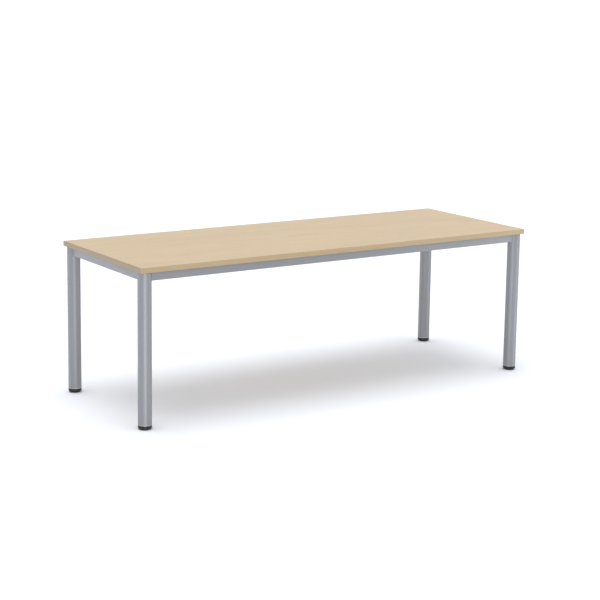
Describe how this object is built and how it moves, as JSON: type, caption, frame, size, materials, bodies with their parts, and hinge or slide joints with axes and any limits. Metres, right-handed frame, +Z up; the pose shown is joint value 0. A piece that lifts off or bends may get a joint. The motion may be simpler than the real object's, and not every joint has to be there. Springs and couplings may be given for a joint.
{
  "type": "rectangular hall table",
  "caption": "Rectangular hall table with a pale wood-decor top, slim box-section rails, round grey tube legs and black screw-out levelling feet.",
  "frame": {"origin": "on the floor, under the middle of the table top", "axes": "+X along the table's length, +Z up; the front long side faces -Y"},
  "size_m": [2.2, 0.8, 0.74],
  "materials": {
    "decor_board": "satin melamine face with a fine pale wood grain",
    "decor_band": "satin edge band in the board's decor",
    "frame_paint": "satin silver-grey powder coat",
    "zinc_plate": "zinc-plated folded steel",
    "zinc": "bright zinc plate",
    "foot_plastic": "fine-grained black moulding",
    "glide_plastic": "smooth black polymer",
    "black_plastic": "plain black moulding"
  },
  "bodies": {
    "table": {"table_top_board": "decor_board", "board_screws": "zinc", "leg_bolts": "zinc", "leg_bolt_washers": "zinc", "leg_rivet_nuts": "zinc", "rail_rivet_nuts": "zinc", "rail_screws": "zinc", "foot_nuts": "zinc", "edge_band_front": "decor_band", "rail_front": "frame_paint", "edge_band_rear": "decor_band", "rail_rear": "frame_paint", "edge_band_left": "decor_band", "rail_left": "frame_paint", "edge_band_right": "decor_band", "rail_right": "frame_paint", "board_clip_front_left": "zinc_plate", "board_clip_front_middle": "zinc_plate", "board_clip_front_right": "zinc_plate", "board_clip_rear_left": "zinc_plate", "board_clip_rear_middle": "zinc_plate", "board_clip_rear_right": "zinc_plate", "board_clip_left": "zinc_plate", "board_clip_right": "zinc_plate", "leg_front_left": "frame_paint", "corner_bracket_front_left": "zinc_plate", "leg_plug_front_left": "black_plastic", "foot_insert_front_left": "black_plastic", "leg_front_right": "frame_paint", "corner_bracket_front_right": "zinc_plate", "leg_plug_front_right": "black_plastic", "foot_insert_front_right": "black_plastic", "leg_rear_right": "frame_paint", "corner_bracket_rear_right": "zinc_plate", "leg_plug_rear_right": "black_plastic", "foot_insert_rear_right": "black_plastic", "leg_rear_left": "frame_paint", "corner_bracket_rear_left": "zinc_plate", "leg_plug_rear_left": "black_plastic", "foot_insert_rear_left": "black_plastic"},
    "glide_front_left": {"glide_front_left": "glide_plastic"},
    "foot_front_left": {"foot_front_left": "foot_plastic", "foot_stud_front_left": "zinc"},
    "glide_front_right": {"glide_front_right": "glide_plastic"},
    "foot_front_right": {"foot_front_right": "foot_plastic", "foot_stud_front_right": "zinc"},
    "glide_rear_right": {"glide_rear_right": "glide_plastic"},
    "foot_rear_right": {"foot_rear_right": "foot_plastic", "foot_stud_rear_right": "zinc"},
    "glide_rear_left": {"glide_rear_left": "glide_plastic"},
    "foot_rear_left": {"foot_rear_left": "foot_plastic", "foot_stud_rear_left": "zinc"}
  },
  "joints": [
    {"name": "foot_travel_front_left", "type": "slide", "parent": "table", "child": "glide_front_left", "axis": [0, 0, -1], "range_m": [0, 0.012]},
    {"name": "foot_turn_front_left", "type": "hinge", "parent": "glide_front_left", "child": "foot_front_left", "pos_m": [-1.064, -0.364, 0.02], "axis": [0, 0, -1], "range_deg": [0, 2880]},
    {"name": "foot_travel_front_right", "type": "slide", "parent": "table", "child": "glide_front_right", "axis": [0, 0, -1], "range_m": [0, 0.012]},
    {"name": "foot_turn_front_right", "type": "hinge", "parent": "glide_front_right", "child": "foot_front_right", "pos_m": [1.064, -0.364, 0.02], "axis": [0, 0, -1], "range_deg": [0, 2880]},
    {"name": "foot_travel_rear_right", "type": "slide", "parent": "table", "child": "glide_rear_right", "axis": [0, 0, -1], "range_m": [0, 0.012]},
    {"name": "foot_turn_rear_right", "type": "hinge", "parent": "glide_rear_right", "child": "foot_rear_right", "pos_m": [1.064, 0.364, 0.02], "axis": [0, 0, -1], "range_deg": [0, 2880]},
    {"name": "foot_travel_rear_left", "type": "slide", "parent": "table", "child": "glide_rear_left", "axis": [0, 0, -1], "range_m": [0, 0.012]},
    {"name": "foot_turn_rear_left", "type": "hinge", "parent": "glide_rear_left", "child": "foot_rear_left", "pos_m": [-1.064, 0.364, 0.02], "axis": [0, 0, -1], "range_deg": [0, 2880]}
  ],
  "couplings": [
    {"joint": "foot_turn_front_left", "follows": "foot_travel_front_left", "rad_per_m": 4188.8},
    {"joint": "foot_turn_front_right", "follows": "foot_travel_front_right", "rad_per_m": 4188.8},
    {"joint": "foot_turn_rear_right", "follows": "foot_travel_rear_right", "rad_per_m": 4188.8},
    {"joint": "foot_turn_rear_left", "follows": "foot_travel_rear_left", "rad_per_m": 4188.8}
  ]
}
